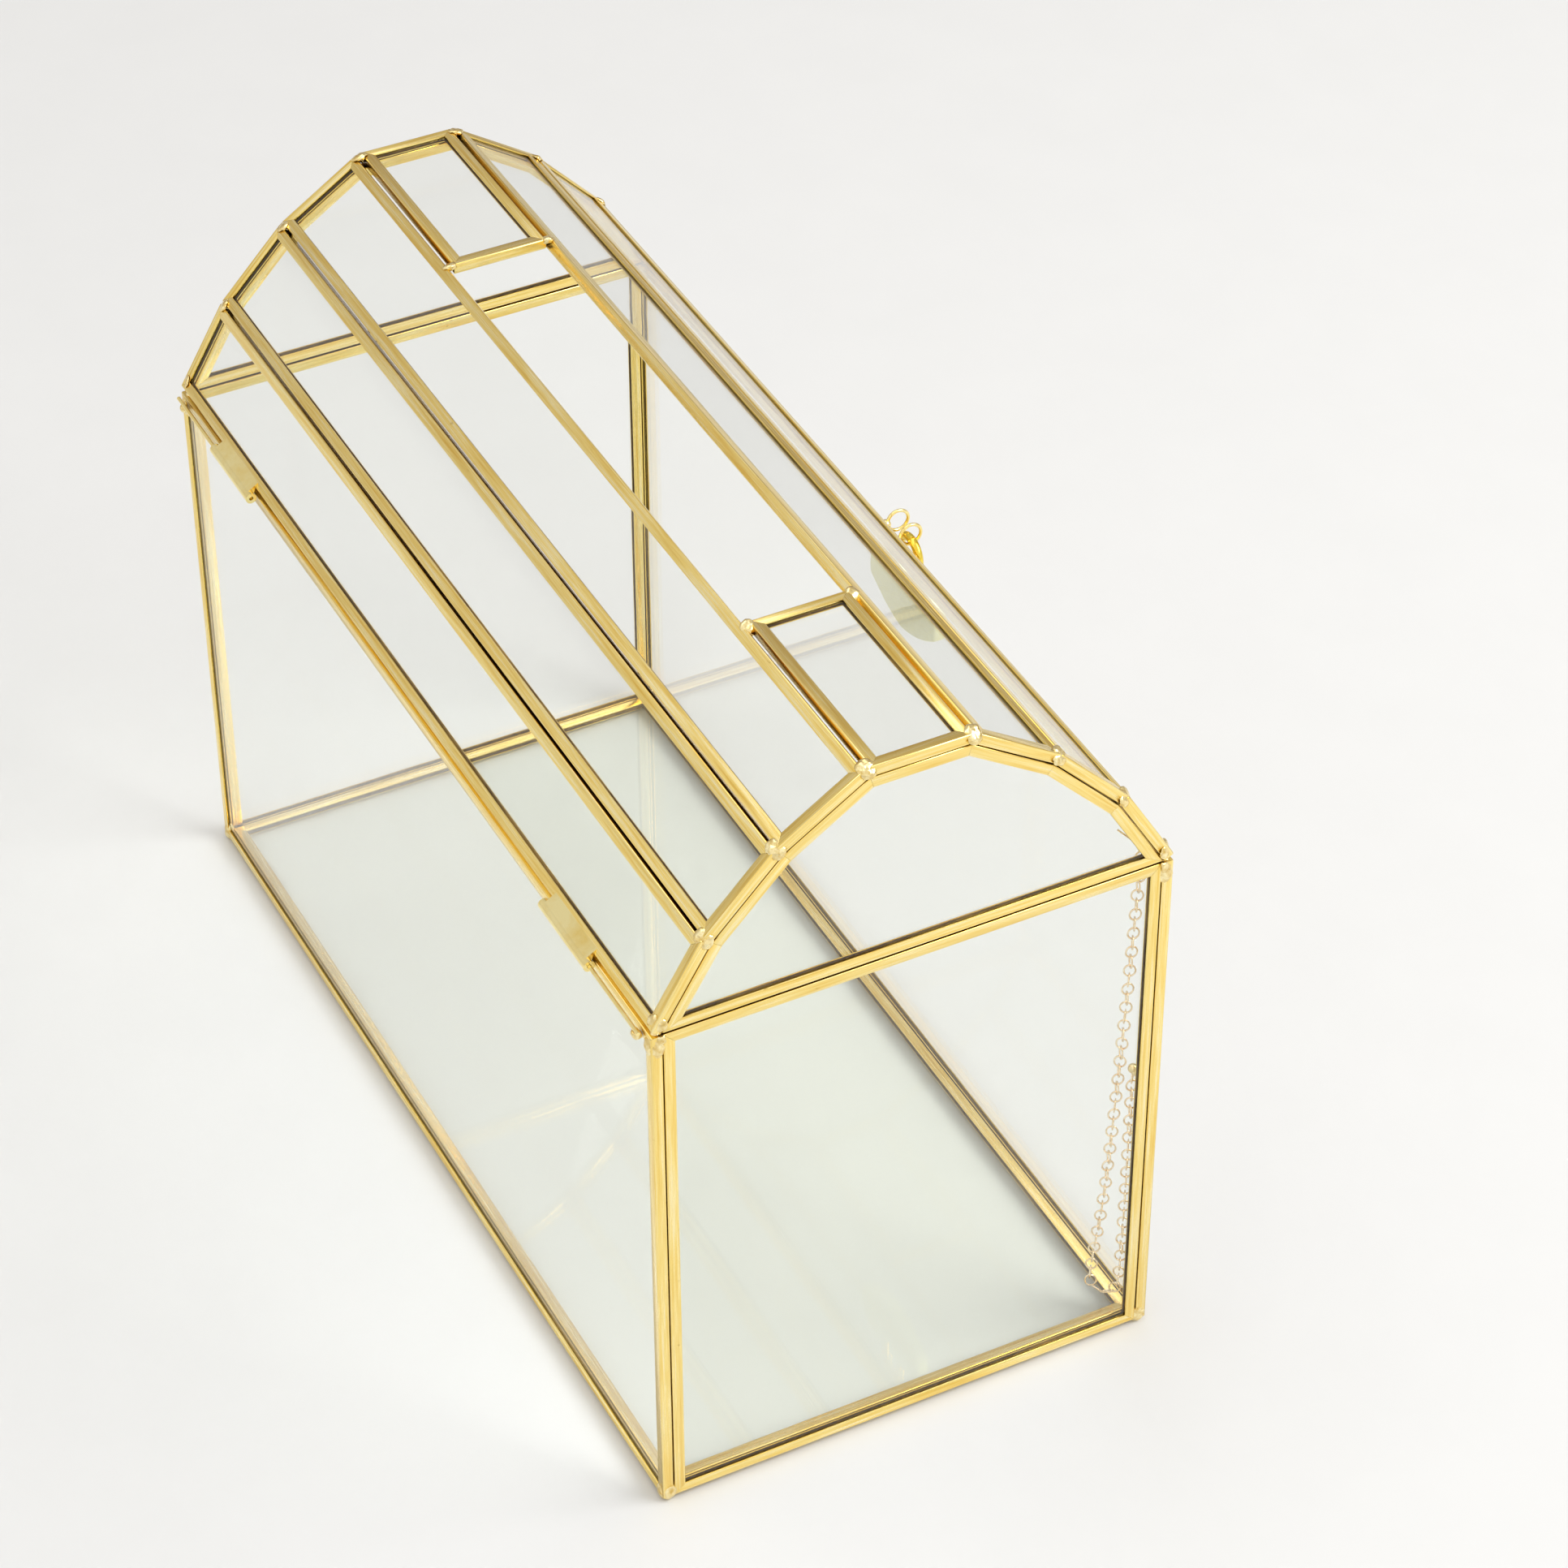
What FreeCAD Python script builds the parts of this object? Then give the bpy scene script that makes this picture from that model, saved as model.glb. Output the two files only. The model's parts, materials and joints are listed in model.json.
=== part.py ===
import FreeCAD, Part
import math
import os
from FreeCAD import Vector, Matrix

# Glass wedding card box shaped like a small treasure chest, in millimetres.
# X runs along the box, the lock side faces -Y, the hinge side faces +Y, Z is up.
# The origin is the centre of the footprint, on the surface that the box stands on.

# ---- driving dimensions ----
box_length = 310.0
box_width = 148.0
body_height = 165.5
facet_slopes = (59.5, 46.3, 33.0)
top_pane_length = 65.0

glass_thickness = 2.2
glass_clearance = 0.05
glass_edge_clearance = 0.3
came_wall = 0.45
came_depth = 3.1
seam_gap = 0.25
lid_gap = 0.4

foot_height = 1.6
foot_radius = 2.5
foot_sunk = 0.3
foot_over_floor_came = 1.2
solder_inset = 1.2
solder_bite = 0.3
slot_solder_share = 0.85

hinge_tube_length = 27.0
hinge_tube_inner_end = 97.0
hinge_tube_radius = 1.6
hinge_pin_radius = 0.55
hinge_pin_clearance = 0.06
hinge_pin_engagement = 25.0
hinge_pin_end_gap = 3.0
hinge_stand_off = 0.35
hinge_saddle_length = 24.0
hinge_saddle_climb = 0.6
hinge_saddle_sunk = 0.95
hinge_saddle_top_angle = 72.0
hinge_saddle_foot_angle = 162.0
hinge_bead_inset = 0.6
hinge_bead_drop = 1.6

ring_radius = 3.2
ring_wire_radius = 0.5
ring_stand_off = 0.12
ring_rise = 3.2
lid_ring_x = 1.4
body_ring_x = -6.0
ring_bead_radius = 1.5
ring_bead_drop = 0.2
body_ring_bead_out = 0.6

shackle_wire_radius = 1.25
shackle_bow_radius = 5.2
shackle_hang_clearance = 0.1
shackle_leg_clearance = 0.05
shackle_leg_length = 8.45
shackle_short_depth = 3.6
shackle_long_depth = 8.0
shackle_rise = 4.0
lock_width = 38.0
lock_height = 21.1
lock_thickness = 4.0
lock_cleft_depth = 3.0
lock_edge_round = 0.9
lock_lobe_fullness = 1.06
lock_lobe_low_angle = -20.0
lock_lobe_crown_angle = 75.0
lock_lobe_cleft_angle = 136.0
lock_flank_out = 0.295
lock_flank_up = 0.156
plug_radius = 4.0
plug_depth = 2.6
plug_clearance = 0.06
shackle_bore_spare = 0.4
keyway_length = 4.6
keyway_width = 0.9
keyway_depth = 1.6

chain_radius = 1.7
chain_floor_gap = 0.4
chain_eye_gap = 0.3
chain_eye_radius = 1.4
whisker_radius = 0.25
whisker_length = 9.0
chain_post_height = 91.0
chain_arc_share = 0.45
chain_eye_arm_share = 0.7
lid_eye_from_end = 4.0
lid_eye_drop = 0.2
post_eye_from_end = 3.4
whisker_direction = (0.28, 0.68, 0.70)
lid_eye_from_lock_side = 6.0
post_eye_from_lock_side = 5.2

# ---- worked out from the driving dimensions ----
came_width = glass_thickness + 2.0 * (came_wall + glass_clearance)
half_length = box_length / 2.0
half_width = box_width / 2.0
body_low = foot_height
body_top = body_low + body_height
lid_low = body_top + lid_gap
seam_mid = (body_top + lid_low) / 2.0
foot_inset = came_width - foot_over_floor_came
solder_radius = came_width - solder_inset + solder_bite

X = Vector(1, 0, 0)
Y = Vector(0, 1, 0)
Z = Vector(0, 0, 1)

nodes = {}


def add(name, solids):
    """Keep a node as one shape, however many separate solids it has."""
    solids = solids if isinstance(solids, list) else [solids]
    flat = []
    for shape in solids:
        flat.extend(shape.Solids)
    nodes[name] = flat[0] if len(flat) == 1 else Part.makeCompound(flat)


# ---- flat shapes ----
def inset(outline, distance):
    """Move every edge of a convex, anticlockwise outline inwards."""
    count = len(outline)
    moved = []
    for i in range(count):
        before = outline[i - 1]
        here = outline[i]
        after = outline[(i + 1) % count]
        a = unit(here[0] - before[0], here[1] - before[1])
        b = unit(after[0] - here[0], after[1] - here[1])
        turn = a[0] * b[1] - a[1] * b[0]
        along = (1.0 - (a[0] * b[0] + a[1] * b[1])) / turn
        moved.append((here[0] - a[1] * distance - a[0] * distance * along,
                      here[1] + a[0] * distance - a[1] * distance * along))
    return moved


def unit(x, y):
    size = math.hypot(x, y)
    return (x / size, y / size)


def slab(outline, low, high):
    points = [Vector(x, y, low) for x, y in outline]
    face = Part.Face(Part.makePolygon(points + points[:1]))
    return face.extrude(Vector(0, 0, high - low))


def rectangle(x0, x1, y0, y1):
    return [(x0, y0), (x1, y0), (x1, y1), (x0, y1)]


def placed(shape, origin, u, v):
    """Lay a shape drawn in the flat into a pane's plane; its thickness goes outwards."""
    n = u.cross(v)
    matrix = Matrix(u.x, v.x, n.x, origin.x,
                    u.y, v.y, n.y, origin.y,
                    u.z, v.z, n.z, origin.z,
                    0, 0, 0, 1)
    copy = shape.copy()
    copy.Placement = FreeCAD.Placement(matrix)
    return copy


# ---- one pane: its glass and the mitred U-shaped came round it ----
def came_strips(outline):
    web = inset(outline, came_wall)
    lip = inset(outline, came_depth)
    strips = []
    for i in range(len(outline)):
        j = (i + 1) % len(outline)
        bar = slab([outline[i], outline[j], lip[j], lip[i]], 0.0, came_width)
        channel = slab([web[i], web[j], lip[j], lip[i]], came_wall, came_width - came_wall)
        strips.append(bar.cut(channel))
    return strips


def glass_plate(outline):
    low = came_wall + glass_clearance
    return slab(inset(outline, came_wall + glass_edge_clearance), low, low + glass_thickness)


slabs = {}


def add_pane(name, outline, origin, u, v):
    add(name + "_glass", placed(glass_plate(outline), origin, u, v))
    add(name + "_came", [placed(strip, origin, u, v) for strip in came_strips(outline)])
    slabs[name] = placed(slab(outline, 0.0, came_width), origin, u, v)


# ---- body: four walls and a floor ----
side_outline = rectangle(-half_length, half_length, 0.0, body_height)
end_half = half_width - came_width - seam_gap
floor_half = half_length - came_width - seam_gap
end_outline = rectangle(-end_half, end_half, 0.0, body_height)
floor_outline = rectangle(-floor_half, floor_half, -end_half, end_half)

add_pane("front", side_outline, Vector(0, came_width - half_width, body_low), X, Z)
add_pane("back", side_outline, Vector(0, half_width - came_width, body_low), -X, Z)
add_pane("left_end", end_outline, Vector(came_width - half_length, 0, body_low), -Y, Z)
add_pane("right_end", end_outline, Vector(half_length - came_width, 0, body_low), Y, Z)
add_pane("floor", floor_outline, Vector(0, 0, body_low + came_width), X, -Y)

# ---- lid: seven facets over half a polygon, closed by two gables ----
# The inner corners of neighbouring facets meet; their square edges open a groove outside.
lid_slopes = list(facet_slopes) + [0.0] + [-slope for slope in reversed(facet_slopes)]
lid_half = half_width - came_width * math.sin(math.radians(facet_slopes[0]))
facet_width = 2.0 * lid_half / sum(math.cos(math.radians(slope)) for slope in lid_slopes)
facet_names = ("back_low", "back_mid", "back_high", "top", "front_high", "front_mid", "front_low")

profile = [(lid_half, 0.0)]
for slope in lid_slopes:
    y, z = profile[-1]
    profile.append((y - facet_width * math.cos(math.radians(slope)),
                    z + facet_width * math.sin(math.radians(slope))))


def facet_direction(slope):
    return Vector(0, -math.cos(math.radians(slope)), math.sin(math.radians(slope)))


def facet_normal(slope):
    return Vector(0, math.sin(math.radians(slope)), math.cos(math.radians(slope)))


def profile_point(index):
    y, z = profile[index]
    return Vector(0, y, lid_low + z)


def facet_outline(x0, x1):
    return rectangle(x0, x1, seam_gap / 2.0, facet_width - seam_gap / 2.0)


for index, slope in enumerate(lid_slopes):
    name = "lid_" + facet_names[index]
    place = (profile_point(index), -X, facet_direction(slope))
    if name == "lid_top":
        add_pane("lid_top_left", facet_outline(half_length - top_pane_length, half_length), *place)
        add_pane("lid_top_right", facet_outline(-half_length, top_pane_length - half_length), *place)
    else:
        add_pane(name, facet_outline(-half_length, half_length), *place)

gable_left = inset([(-y, z) for y, z in [profile[0]] + profile[:0:-1]], seam_gap)
gable_right = inset([(y, z) for y, z in [profile[-1]] + profile[:-1]], seam_gap)
add_pane("gable_left", gable_left, Vector(came_width - half_length, 0, lid_low), -Y, Z)
add_pane("gable_right", gable_right, Vector(half_length - came_width, 0, lid_low), Y, Z)


# ---- solder: lumps that sit on the outside of the cames at each corner ----
def box_between(low, high):
    size = high - low
    return Part.makeBox(size.x, size.y, size.z, low)


def lump(centre, radius, neighbours, keep=None):
    shape = Part.makeSphere(radius, centre)
    for name in neighbours:
        shape = shape.cut(slabs[name])
    if keep is not None:
        shape = shape.common(keep)
    return max(shape.Solids, key=lambda solid: solid.Volume)


reach = box_length
below_rim = box_between(Vector(-reach, -reach, body_low + came_width), Vector(reach, reach, body_top))
above_rim = box_between(Vector(-reach, -reach, lid_low), Vector(reach, reach, reach))
above_table = box_between(Vector(-reach, -reach, 0.0), Vector(reach, reach, body_top))

end_of = {-1: "left_end", 1: "right_end"}
gable_of = {-1: "gable_left", 1: "gable_right"}
side_of = {-1: "front", 1: "back"}
low_facet_of = {-1: "lid_front_low", 1: "lid_back_low"}
corners = [(sx, sy) for sx in (-1, 1) for sy in (-1, 1)]

feet = []
rim_lumps = []
for sx, sy in corners:
    around = [end_of[sx], side_of[sy], "floor"]
    foot = Vector(sx * (half_length - foot_inset), sy * (half_width - foot_inset),
                  foot_radius - foot_sunk)
    feet.append(lump(foot, foot_radius, around, above_table))
    rim = Vector(sx * (half_length - solder_inset), sy * (half_width - came_width + solder_inset),
                 body_top - solder_inset)
    rim_lumps.append(lump(rim, solder_radius, around, below_rim))
add("solder_feet", feet)
add("rim_solder", rim_lumps)


def ridge_point(index):
    """Outer corner of the ridge where two facets meet."""
    slope = (lid_slopes[index - 1] + lid_slopes[index]) / 2.0
    turn = math.radians(lid_slopes[index - 1] - lid_slopes[index]) / 2.0
    return profile_point(index) + facet_normal(slope) * (came_width / math.cos(turn) - solder_inset)


def facet_node(index, sx):
    name = "lid_" + facet_names[index]
    if name == "lid_top":
        name += "_left" if sx < 0 else "_right"
    return name


for sx in (-1, 1):
    lumps = []
    for index in range(1, len(lid_slopes)):
        centre = ridge_point(index) + X * (sx * (half_length - solder_inset))
        around = [facet_node(index - 1, sx), facet_node(index, sx), gable_of[sx]]
        lumps.append(lump(centre, solder_radius, around))
    for sy in (-1, 1):
        centre = Vector(sx * (half_length - solder_inset),
                        sy * (half_width - 2.0 * solder_inset), lid_low + came_width)
        lumps.append(lump(centre, solder_radius, [low_facet_of[sy], gable_of[sx]], above_rim))
    add("gable_solder_left" if sx < 0 else "gable_solder_right", lumps)

slot_lumps = []
slot_half = half_length - top_pane_length
top_index = len(facet_slopes)
for sx in (-1, 1):
    for index in (top_index, top_index + 1):
        centre = ridge_point(index) + X * (sx * (slot_half + solder_inset))
        around = [facet_node(index - 1, sx), facet_node(index, sx)]
        slot_lumps.append(lump(centre, solder_radius * slot_solder_share, around))
add("slot_solder", slot_lumps)

# ---- hinges: a tube soldered to the lid turns on a wire soldered to the body ----
hinge_y = half_width + hinge_stand_off + hinge_tube_radius
hinge_z = seam_mid


def bar_x(radius, x0, x1, y, z):
    return Part.makeCylinder(radius, x1 - x0, Vector(x0, y, z), X)


def tube_side(angle):
    """A point just inside the tube's outer face, at an angle up from the outward side."""
    radius = hinge_tube_radius * hinge_saddle_sunk
    return Vector(0, hinge_y + radius * math.cos(math.radians(angle)),
                  hinge_z + radius * math.sin(math.radians(angle)))


for sx, side in ((-1, "left"), (1, "right")):
    tube_in = hinge_tube_inner_end
    tube_out = tube_in + hinge_tube_length
    pin_in = tube_out - hinge_pin_engagement
    pin_out = half_length - hinge_pin_end_gap
    tube_ends = sorted((sx * tube_in, sx * tube_out))
    pin_ends = sorted((sx * pin_in, sx * pin_out))
    tube = bar_x(hinge_tube_radius, tube_ends[0], tube_ends[1], hinge_y, hinge_z)
    bore = bar_x(hinge_pin_radius + hinge_pin_clearance, tube_ends[0] - 1, tube_ends[1] + 1,
                 hinge_y, hinge_z)
    # The saddle is the solder that fills the corner between the tube and the lid's lowest came.
    middle = sx * (tube_in + tube_out) / 2.0
    low_normal = facet_normal(facet_slopes[0])
    low_direction = facet_direction(facet_slopes[0])
    came_foot = profile_point(0) + low_direction * (seam_gap / 2.0) + low_normal * came_width
    saddle_points = [came_foot,
                     came_foot + low_direction * (came_depth * hinge_saddle_climb),
                     tube_side(hinge_saddle_top_angle),
                     Vector(0, hinge_y, hinge_z),
                     tube_side(hinge_saddle_foot_angle)]
    start = X * (middle - hinge_saddle_length / 2.0)
    saddle_points = [point + start for point in saddle_points]
    saddle = Part.Face(Part.makePolygon(saddle_points + saddle_points[:1]))
    saddle = saddle.extrude(X * hinge_saddle_length)
    add(side + "_hinge_tube", tube.fuse(saddle).cut(bore).removeSplitter())
    pin = bar_x(hinge_pin_radius, pin_ends[0], pin_ends[1], hinge_y, hinge_z)
    add(side + "_hinge_pin", pin)
    # A bead of solder holds the wire's outer end to the body's rim.
    bead_x = sx * (pin_out - solder_radius)
    bead = Part.makeSphere(solder_radius, Vector(bead_x, hinge_y - hinge_bead_inset, hinge_z - hinge_bead_drop))
    low_side = box_between(Vector(-reach, half_width, body_low), Vector(reach, reach, body_top))
    bead = bead.common(low_side).cut(bar_x(hinge_pin_radius, -reach, reach, hinge_y, hinge_z))
    add(side + "_pin_solder", bead)

# ---- lock rings: one on the lid's lowest front came, one on the body's rim ----
ring_reach = ring_radius + ring_wire_radius
ring_y = -half_width - ring_stand_off - ring_reach


def ring(x, z):
    return Part.makeTorus(ring_radius, ring_wire_radius, Vector(x, ring_y, z), X)


ring_z = seam_mid + ring_rise
lid_bead_at = Vector(lid_ring_x, -half_width, ring_z - ring_bead_drop)
lid_bead = Part.makeSphere(ring_bead_radius, lid_bead_at)
lid_bead = lid_bead.cut(slabs["lid_front_low"]).common(above_rim)
add("lid_lock_ring", ring(lid_ring_x, ring_z).fuse(max(lid_bead.Solids, key=lambda s: s.Volume)))
body_bead_at = Vector(body_ring_x, -half_width - body_ring_bead_out, body_top - ring_bead_drop)
body_bead = Part.makeSphere(ring_bead_radius, body_bead_at).cut(slabs["front"])
body_bead = body_bead.common(box_between(Vector(-reach, -reach, 0), Vector(reach, -half_width, reach)))
add("body_lock_ring", ring(body_ring_x, ring_z).fuse(max(body_bead.Solids, key=lambda s: s.Volume)))

# ---- padlock: hangs by its shackle in the body's ring ----
lock_x = body_ring_x
bow_z = ring_z - ring_radius + ring_wire_radius + shackle_wire_radius + shackle_hang_clearance
leg_top = bow_z - shackle_bow_radius
case_top = leg_top - shackle_leg_length


def leg(sign, low):
    return Part.makeCylinder(shackle_wire_radius, leg_top - low,
                             Vector(lock_x + sign * shackle_bow_radius, ring_y, low), Z)


bow = Part.makeTorus(shackle_bow_radius, shackle_wire_radius, Vector(lock_x, ring_y, leg_top), Y)
upper_half = box_between(Vector(lock_x - reach, ring_y - reach, leg_top),
                         Vector(lock_x + reach, ring_y + reach, leg_top + reach))
short_low = case_top - shackle_short_depth
long_low = case_top - shackle_long_depth
shackle = bow.common(upper_half).fuse([leg(-1, short_low), leg(1, long_low)]).removeSplitter()
add("padlock_shackle", shackle)

lobe_top = case_top + lock_cleft_depth
lock_tip = lobe_top - lock_height
lobe_radius = lock_width / 4.0 * lock_lobe_fullness
lobe_x = lock_width / 2.0 - lobe_radius
lobe_z = lobe_top - lobe_radius


def heart_wire(y):
    """Two lobes, each an arc, drawn down to the tip by long curved flanks."""
    def point(x, z):
        return Vector(lock_x + x, y, z)
    def lobe(sign, angle):
        """A point on a lobe's circle, at an angle up from its outer side."""
        turn = math.radians(angle)
        return point(sign * (lobe_x + lobe_radius * math.cos(turn)), lobe_z + lobe_radius * math.sin(turn))
    edges = []
    for sign in (-1, 1):
        outer = lobe(sign, lock_lobe_low_angle)
        inner = lobe(sign, lock_lobe_cleft_angle)
        flank = point(sign * lock_width * lock_flank_out, lock_tip + lock_height * lock_flank_up)
        edges.append((Part.Arc(outer, lobe(sign, lock_lobe_crown_angle), inner).toShape(),
                      Part.makeLine(inner, point(0, case_top)),
                      Part.Arc(outer, flank, point(0, lock_tip)).toShape()))
    left, right = edges
    return Part.Wire(Part.__sortEdges__([left[2], left[0], left[1], right[1], right[0], right[2]]))


case_back = ring_y + lock_thickness / 2.0
case = Part.Face(heart_wire(case_back)).extrude(Y * -lock_thickness)
rims = [edge for edge in case.Edges if edge.BoundBox.YLength < 1e-6]
case = case.makeFillet(lock_edge_round, rims)
for sign, depth in ((-1, shackle_short_depth + shackle_rise), (1, shackle_long_depth)):
    hole_low = case_top - depth - shackle_bore_spare
    hole = Part.makeCylinder(shackle_wire_radius + shackle_leg_clearance, case_top + lock_height - hole_low,
                             Vector(lock_x + sign * shackle_bow_radius, ring_y, hole_low), Z)
    case = case.cut(hole)
plug_x = lock_x
plug_z = (lobe_z + lock_tip) / 2.0
case_front = ring_y - lock_thickness / 2.0


def plug_cylinder(radius, depth):
    return Part.makeCylinder(radius, depth, Vector(plug_x, case_front, plug_z), Y)


case = case.cut(plug_cylinder(plug_radius + plug_clearance, plug_depth + plug_clearance))
add("padlock_case", case)
plug = plug_cylinder(plug_radius, plug_depth)
keyway = Part.makeBox(keyway_width, keyway_depth, keyway_length,
                      Vector(plug_x - keyway_width / 2.0, case_front, plug_z - keyway_length / 2.0))
add("padlock_plug", plug.cut(keyway))

# ---- chain: a stay from the lid's front left corner to the front left post ----
inner_x = came_width - half_length
chain_low = body_low + came_width + chain_radius + chain_floor_gap
lid_eye = Vector(inner_x + lid_eye_from_end, lid_eye_from_lock_side - half_width, lid_low - lid_eye_drop)
post_eye = Vector(inner_x + post_eye_from_end, post_eye_from_lock_side - half_width, chain_post_height)

chain_fold = (Vector(-141.6, -62.6, chain_low), Vector(-147.4, -68.2, chain_low))
chain_points = [
    lid_eye,
    Vector(-146.9, -66.8, 120.0),
    Vector(-145.8, -65.6, 80.0),
    Vector(-144.2, -64.6, 42.0),
    Vector(-142.2, -63.2, 20.0),
    chain_fold[0],
    chain_fold[1],
    Vector(-147.9, -68.7, 20.0),
    Vector(-148.2, -68.8, 46.0),
    post_eye,
]


def tube_path(points):
    """Straight runs joined by arcs as large as the runs beside each corner allow."""
    runs = [(b - a).Length for a, b in zip(points, points[1:])]
    edges = []
    radii = []
    at = points[0]
    for i in range(1, len(points) - 1):
        back = (points[i - 1] - points[i]).normalize()
        ahead = (points[i + 1] - points[i]).normalize()
        turn = math.pi - back.getAngle(ahead)
        trim = chain_arc_share * min(runs[i - 1], runs[i])
        radius = trim / math.tan(turn / 2.0)
        start = points[i] + back * trim
        end = points[i] + ahead * trim
        towards = (back + ahead).normalize()
        centre = points[i] + towards * (radius / math.cos(turn / 2.0))
        middle = centre - towards * radius
        edges.append(Part.LineSegment(at, start).toShape())
        edges.append(Part.Arc(start, middle, end).toShape())
        radii.append(round(radius, 1))
        at = end
    edges.append(Part.LineSegment(at, points[-1]).toShape())
    return edges, radii


def strand(edges, start, aim):
    """One strand of the chain as a round bar of the links' outer diameter."""
    path = Part.Wire(edges)
    section = Part.Wire(Part.makeCircle(chain_radius, start, aim))
    shape = path.makePipeShell([section], True, False)
    print("strand length", round(path.Length, 1), "volume", round(shape.Volume, 1),
          "should be", round(math.pi * chain_radius ** 2 * path.Length, 1))
    return shape


# The chain is folded at its lowest link, in the middle of its run along the floor.
# Each strand swings about its own eye, and the two meet again when the lid is open.
chain_edges, bend_radii = tube_path(chain_points)
print("bend radii", bend_radii)
fold_run = chain_points.index(chain_fold[0])
fold = (chain_fold[0] + chain_fold[1]) * 0.5
fold_aim = (chain_fold[1] - chain_fold[0]).normalize()
fold_edge = chain_edges[2 * fold_run]
lid_edges = chain_edges[:2 * fold_run] + [Part.makeLine(fold_edge.Vertexes[0].Point, fold)]
post_edges = [Part.makeLine(fold, fold_edge.Vertexes[1].Point)] + chain_edges[2 * fold_run + 1:]
lid_strand = strand(lid_edges, lid_eye, (chain_points[1] - lid_eye).normalize())
post_strand = strand(post_edges, fold, fold_aim)
add("lid_chain_strand", lid_strand)
add("post_chain_strand", post_strand)


def eye_bead(at, away, wall_x, gap):
    """A bead of solder from a came's inner face out to the end of the chain."""
    top = at + away * gap
    reach_x = top.x + chain_eye_radius
    body = Part.makeSphere(chain_eye_radius, top + away * chain_eye_radius)
    arm = Part.makeCylinder(chain_eye_radius * chain_eye_arm_share, reach_x - wall_x - chain_eye_radius,
                            Vector(wall_x, top.y, top.z + away.z * chain_eye_radius), X)
    return body.fuse(arm)


lid_away = (chain_points[0] - chain_points[1]).normalize()
lid_bead = eye_bead(lid_eye, lid_away, inner_x, chain_eye_gap)
whisker_at = lid_eye + lid_away * (chain_eye_gap + chain_eye_radius)
whisker_aim = Vector(*whisker_direction).normalize()
whisker = Part.makeCylinder(whisker_radius, whisker_length, whisker_at, whisker_aim)
add("chain_lid_eye", lid_bead.fuse(whisker))
post_away = (chain_points[-1] - chain_points[-2]).normalize()
add("chain_post_eye", eye_bead(post_eye, post_away, inner_x, 0.0).cut(post_strand))

# ---- write one STEP file per node ----
os.makedirs("parts", exist_ok=True)
for name, shape in sorted(nodes.items()):
    shape.exportStep("parts/" + name + ".step")
print(len(nodes), "nodes, facet width", round(facet_width, 2), "lid height", round(profile[top_index][1], 2))
whole = Part.makeCompound(list(nodes.values()))
print("box", whole.BoundBox)
for name, shape in sorted(nodes.items()):
    bad = [solid for solid in shape.Solids if not solid.isValid()]
    if bad or not shape.Solids:
        print("BAD", name, len(bad))
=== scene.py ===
import json
import math
import random

import bmesh
import bpy
from mathutils import Matrix, Vector


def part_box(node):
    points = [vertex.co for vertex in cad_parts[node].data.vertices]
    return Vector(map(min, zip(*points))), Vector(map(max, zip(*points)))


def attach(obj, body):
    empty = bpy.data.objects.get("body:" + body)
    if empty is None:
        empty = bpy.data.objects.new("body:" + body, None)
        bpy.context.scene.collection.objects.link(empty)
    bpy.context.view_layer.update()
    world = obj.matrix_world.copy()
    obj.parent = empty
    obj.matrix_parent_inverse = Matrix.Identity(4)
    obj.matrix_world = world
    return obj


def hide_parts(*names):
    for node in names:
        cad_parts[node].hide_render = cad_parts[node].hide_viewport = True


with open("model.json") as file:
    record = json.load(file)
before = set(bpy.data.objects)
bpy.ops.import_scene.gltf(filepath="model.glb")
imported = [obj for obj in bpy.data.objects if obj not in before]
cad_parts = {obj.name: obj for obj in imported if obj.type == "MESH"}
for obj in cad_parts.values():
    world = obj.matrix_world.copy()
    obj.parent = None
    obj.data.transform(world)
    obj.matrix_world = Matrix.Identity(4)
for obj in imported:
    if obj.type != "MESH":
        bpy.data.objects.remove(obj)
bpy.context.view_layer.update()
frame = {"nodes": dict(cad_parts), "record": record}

scene = bpy.context.scene
mm = 0.001


def clearSelection():
    if bpy.context.mode != "OBJECT":
        bpy.ops.object.mode_set(mode="OBJECT")
    bpy.ops.object.select_all(action="DESELECT")


def pick(piece):
    clearSelection()
    piece.select_set(True)
    bpy.context.view_layer.objects.active = piece


def linkPiece(name, mesh):
    piece = bpy.data.objects.new(name, mesh)
    scene.collection.objects.link(piece)
    return piece


shot = {
    "place": (-0.94481, 0.43881, 0.96569),
    "right": (-0.45524, -0.89036, -0.00284),
    "up": (0.56588, -0.29179, 0.77112),
    "back": (-0.68741, 0.34944, 0.63668),
    "lens": 110.98,
}
viewer = bpy.data.objects.new("viewer", bpy.data.cameras.new("viewer"))
scene.collection.objects.link(viewer)
viewer.data.lens = shot["lens"]
viewer.data.sensor_width = 36.0
turn = Matrix((shot["right"], shot["up"], shot["back"])).transposed().to_4x4()
viewer.matrix_world = Matrix.Translation(shot["place"]) @ turn
scene.camera = viewer
print("camera set")

# The stay chain, link by link, in two strands that meet at its lowest link.
stay = {
    "lidEye": (-0.1478, -0.0680, 0.1673),
    "postEye": (-0.1484, -0.0688, 0.0910),
    "downRun": [(-0.1469, -0.0668, 0.120), (-0.1458, -0.0656, 0.080), (-0.1442, -0.0646, 0.042),
                (-0.1422, -0.0632, 0.020), (-0.1416, -0.0626, 0.0069)],
    "upRun": [(-0.1474, -0.0682, 0.0069), (-0.1479, -0.0687, 0.020), (-0.1482, -0.0688, 0.046)],
    "fold": (-0.1445, -0.0654, 0.0069),
    "wire": 0.25 * mm,
    "linkWide": 3.6 * mm,
    "linkLong": 4.3 * mm,
    "pitch": 3.25 * mm,
    "width": 3.4 * mm,
    "lidLength": 0.1630,
    "postLength": 0.0867,
    "wobble": 13.0,
    "curveSteps": 24,
    "curveOrder": 3,
    "ringSides": 18,
    "wireSides": 6,
    "fewestLinks": 2,
    "seed": 7,
}


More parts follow.
